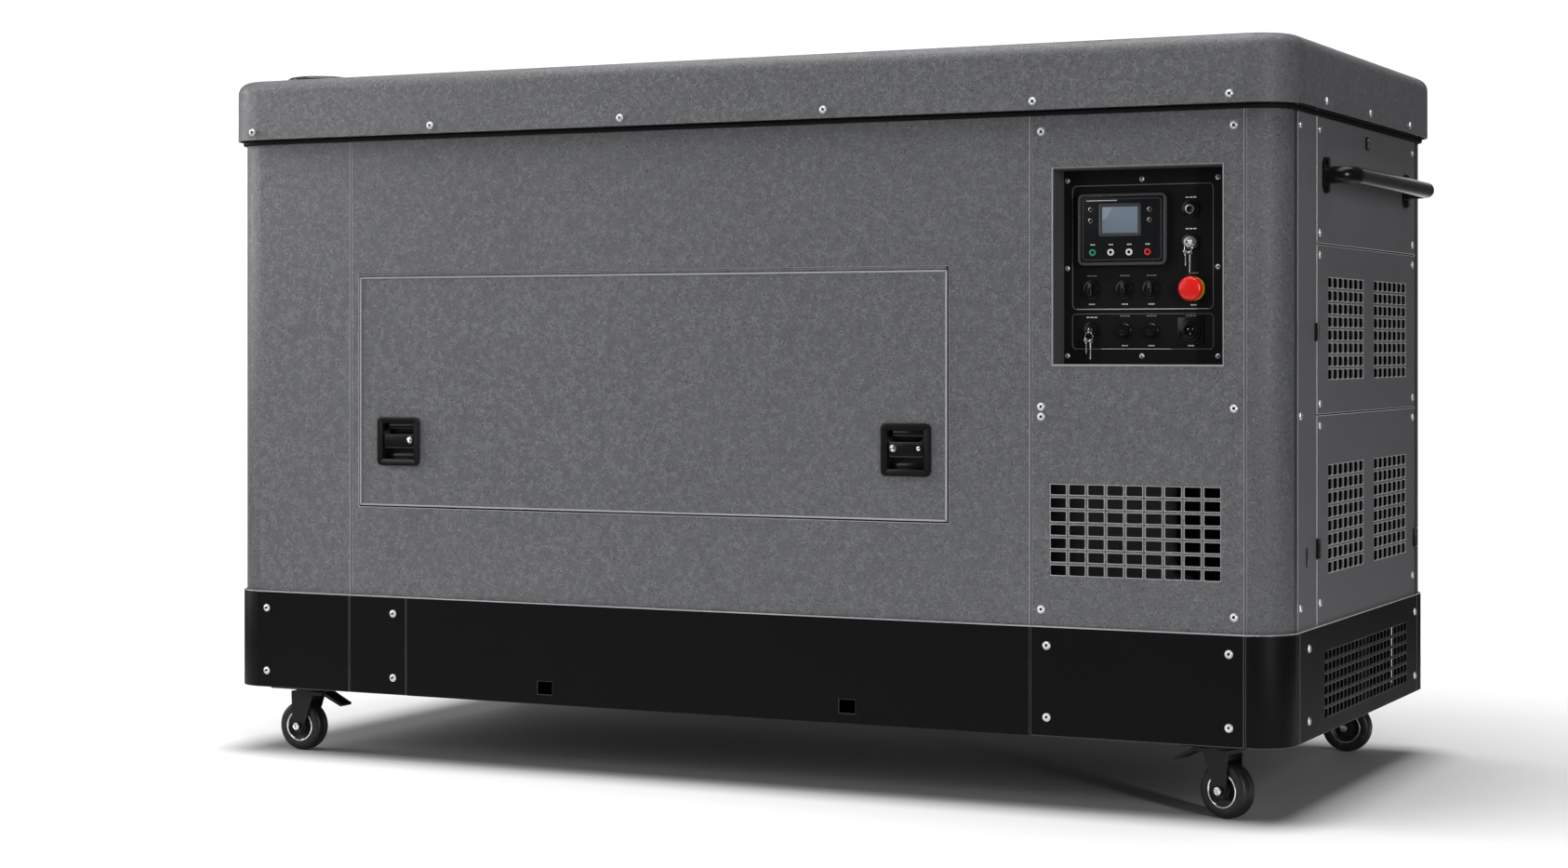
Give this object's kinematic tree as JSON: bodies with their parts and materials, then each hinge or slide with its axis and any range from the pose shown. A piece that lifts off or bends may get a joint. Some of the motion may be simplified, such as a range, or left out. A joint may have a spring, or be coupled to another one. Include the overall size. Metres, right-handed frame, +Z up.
{
  "type": "home standby generator",
  "caption": "Enclosed standby generator on swivel casters: lidded grey casing, lift-up service door, recessed control panel, grilles and end handles.",
  "frame": {"origin": "on the floor, under the middle of the casing", "axes": "+X along the casing to its right end, -Y towards the side with the service door and controls, +Z up"},
  "size_m": [2.118, 0.978, 1.2513],
  "materials": {
    "casing_grey": "grey wrinkle-textured powder coat",
    "side_grey": "darker smooth powder coat",
    "base_black": "satin black powder coat",
    "frame_black": "matt black paint",
    "screw_steel": "bright plated steel",
    "handle_black": "gloss black paint",
    "cap_black": "moulded black",
    "latch_black": "moulded black",
    "panel_black": "satin black",
    "controller_black": "semi-gloss moulded housing",
    "screen_grey": "blank blue-grey display",
    "key_green": "green-ringed key",
    "key_white": "white-ringed key",
    "key_red": "red-ringed key",
    "knob_black": "black moulded",
    "lock_chrome": "chromed",
    "stop_red": "signal red",
    "stop_yellow": "signal yellow",
    "tyre_black": "black rubber",
    "caster_steel": "black-coated pressed steel",
    "engine_iron": "grey enamelled alloy casting",
    "alternator_grey": "dark enamelled casting",
    "radiator_alloy": "core block painted black",
    "fan_black": "moulded black",
    "muffler_steel": "dull aluminised drum",
    "battery_black": "black case",
    "port_brass": "plain brass bushes"
  },
  "bodies": {
    "casing": {"base_frame": "frame_black", "front_sill": "base_black", "sill_covers": "base_black", "sill_side_grille": "base_black", "body_frame": "frame_black", "front_left_panel": "casing_grey", "front_main_panel": "casing_grey", "front_right_panel": "casing_grey", "corner_posts": "casing_grey", "side_strip": "side_grey", "side_upper_panel": "side_grey", "side_middle_panel": "side_grey", "side_lower_panel": "side_grey", "rear_panel": "side_grey", "left_end_panel": "side_grey", "roof_lid": "casing_grey", "end_handles": "handle_black", "casing_screws": "screw_steel", "door_hinge_fixed": "casing_grey", "control_box": "panel_black", "control_plate": "panel_black", "controller_case": "controller_black", "controller_screen": "screen_grey", "switch_bezels": "knob_black", "estop_collar": "stop_yellow", "caster_plates": "caster_steel", "engine_block": "engine_iron", "alternator": "alternator_grey", "radiator": "radiator_alloy", "muffler": "muffler_steel", "battery": "battery_black", "service_ports": "port_brass"},
    "door": {"service_door": "casing_grey", "door_hinge_moving": "casing_grey", "latch_cups": "latch_black"},
    "paddle_left": {"latch_paddle_left": "latch_black"},
    "paddle_right": {"latch_paddle_right": "latch_black"},
    "roof_cap": {"roof_filler_cap": "cap_black"},
    "knob_left": {"selector_knob_left": "knob_black"},
    "knob_middle": {"selector_knob_middle": "knob_black"},
    "knob_right": {"selector_knob_right": "knob_black"},
    "key_upper": {"key_switch_upper": "lock_chrome"},
    "key_lower": {"key_switch_lower": "lock_chrome"},
    "push_button": {"push_button": "knob_black"},
    "estop": {"estop_button": "stop_red"},
    "fan": {"radiator_fan": "fan_black"},
    "fork_front_left": {"caster_fork_front_left": "caster_steel"},
    "wheel_front_left": {"caster_wheel_front_left": "tyre_black"},
    "brake_front_left": {"caster_brake_front_left": "caster_steel"},
    "fork_front_right": {"caster_fork_front_right": "caster_steel"},
    "wheel_front_right": {"caster_wheel_front_right": "tyre_black"},
    "brake_front_right": {"caster_brake_front_right": "caster_steel"},
    "fork_rear_left": {"caster_fork_rear_left": "caster_steel"},
    "wheel_rear_left": {"caster_wheel_rear_left": "tyre_black"},
    "fork_rear_right": {"caster_fork_rear_right": "caster_steel"},
    "wheel_rear_right": {"caster_wheel_rear_right": "tyre_black"},
    "key_start": {"controller_key_start": "key_green"},
    "key_automatic": {"controller_key_automatic": "key_white"},
    "key_manual": {"controller_key_manual": "key_white"},
    "key_stop": {"controller_key_stop": "key_red"}
  },
  "joints": [
    {"name": "door_lift", "type": "hinge", "parent": "casing", "child": "door", "pos_m": [-0.1436, -0.467, 0.8776], "axis": [-1, 0, 0], "range_deg": [0, 85]},
    {"name": "paddle_left_pull", "type": "hinge", "parent": "door", "child": "paddle_left", "pos_m": [-0.6365, -0.4645, 0.5685], "axis": [1, 0, 0], "range_deg": [0, 40]},
    {"name": "paddle_right_pull", "type": "hinge", "parent": "door", "child": "paddle_right", "pos_m": [0.3605, -0.4645, 0.5685], "axis": [1, 0, 0], "range_deg": [0, 40]},
    {"name": "roof_cap_turn", "type": "hinge", "parent": "casing", "child": "roof_cap", "pos_m": [-0.86, -0.39, 1.24], "axis": [0, 0, 1], "range_deg": [0, 90]},
    {"name": "caster_front_left_swivel", "type": "hinge", "parent": "casing", "child": "fork_front_left", "pos_m": [-0.872, -0.41, 0.108], "axis": [0, 0, 1], "continuous": true},
    {"name": "caster_front_left_roll", "type": "hinge", "parent": "fork_front_left", "child": "wheel_front_left", "pos_m": [-0.884, -0.41, 0.045], "axis": [0, 1, 0], "continuous": true},
    {"name": "brake_front_left_press", "type": "hinge", "parent": "fork_front_left", "child": "brake_front_left", "pos_m": [-0.8369, -0.41, 0.1067], "axis": [0, 1, 0], "range_deg": [0, 12]},
    {"name": "caster_front_right_swivel", "type": "hinge", "parent": "casing", "child": "fork_front_right", "pos_m": [0.882, -0.41, 0.108], "axis": [0, 0, 1], "continuous": true},
    {"name": "caster_front_right_roll", "type": "hinge", "parent": "fork_front_right", "child": "wheel_front_right", "pos_m": [0.89328, -0.4141, 0.045], "axis": [-0.342, -0.9397, 0], "continuous": true},
    {"name": "brake_front_right_press", "type": "hinge", "parent": "fork_front_right", "child": "brake_front_right", "pos_m": [0.84902, -0.398, 0.1067], "axis": [-0.342, -0.9397, 0], "range_deg": [0, 12]},
    {"name": "caster_rear_left_swivel", "type": "hinge", "parent": "casing", "child": "fork_rear_left", "pos_m": [-0.872, 0.41, 0.108], "axis": [0, 0, 1], "continuous": true},
    {"name": "caster_rear_left_roll", "type": "hinge", "parent": "fork_rear_left", "child": "wheel_rear_left", "pos_m": [-0.884, 0.41, 0.045], "axis": [0, 1, 0], "continuous": true},
    {"name": "caster_rear_right_swivel", "type": "hinge", "parent": "casing", "child": "fork_rear_right", "pos_m": [0.882, 0.41, 0.108], "axis": [0, 0, 1], "continuous": true},
    {"name": "caster_rear_right_roll", "type": "hinge", "parent": "fork_rear_right", "child": "wheel_rear_right", "pos_m": [0.87, 0.41, 0.045], "axis": [0, 1, 0], "continuous": true},
    {"name": "knob_left_turn", "type": "hinge", "parent": "casing", "child": "knob_left", "pos_m": [0.667, -0.425, 0.841], "axis": [0, -1, 0], "range_deg": [-45, 45]},
    {"name": "knob_middle_turn", "type": "hinge", "parent": "casing", "child": "knob_middle", "pos_m": [0.723, -0.425, 0.841], "axis": [0, -1, 0], "range_deg": [-45, 45]},
    {"name": "knob_right_turn", "type": "hinge", "parent": "casing", "child": "knob_right", "pos_m": [0.768, -0.425, 0.841], "axis": [0, -1, 0], "range_deg": [-45, 45]},
    {"name": "key_upper_turn", "type": "hinge", "parent": "casing", "child": "key_upper", "pos_m": [0.834, -0.425, 0.915], "axis": [0, -1, 0], "range_deg": [0, 45]},
    {"name": "key_lower_turn", "type": "hinge", "parent": "casing", "child": "key_lower", "pos_m": [0.667, -0.425, 0.774], "axis": [0, -1, 0], "range_deg": [0, 45]},
    {"name": "push_button_press", "type": "slide", "parent": "casing", "child": "push_button", "axis": [0, 1, 0], "range_m": [0, 0.003], "stiffness_N_per_m": 300},
    {"name": "estop_press", "type": "slide", "parent": "casing", "child": "estop", "axis": [0, 1, 0], "range_m": [0, 0.005]},
    {"name": "key_start_press", "type": "slide", "parent": "casing", "child": "key_start", "axis": [0, 1, 0], "range_m": [0, 0.001], "stiffness_N_per_m": 500},
    {"name": "key_automatic_press", "type": "slide", "parent": "casing", "child": "key_automatic", "axis": [0, 1, 0], "range_m": [0, 0.001], "stiffness_N_per_m": 500},
    {"name": "key_manual_press", "type": "slide", "parent": "casing", "child": "key_manual", "axis": [0, 1, 0], "range_m": [0, 0.001], "stiffness_N_per_m": 500},
    {"name": "key_stop_press", "type": "slide", "parent": "casing", "child": "key_stop", "axis": [0, 1, 0], "range_m": [0, 0.001], "stiffness_N_per_m": 500},
    {"name": "fan_spin", "type": "hinge", "parent": "casing", "child": "fan", "pos_m": [-0.838, 0, 0.577], "axis": [1, 0, 0], "continuous": true}
  ]
}
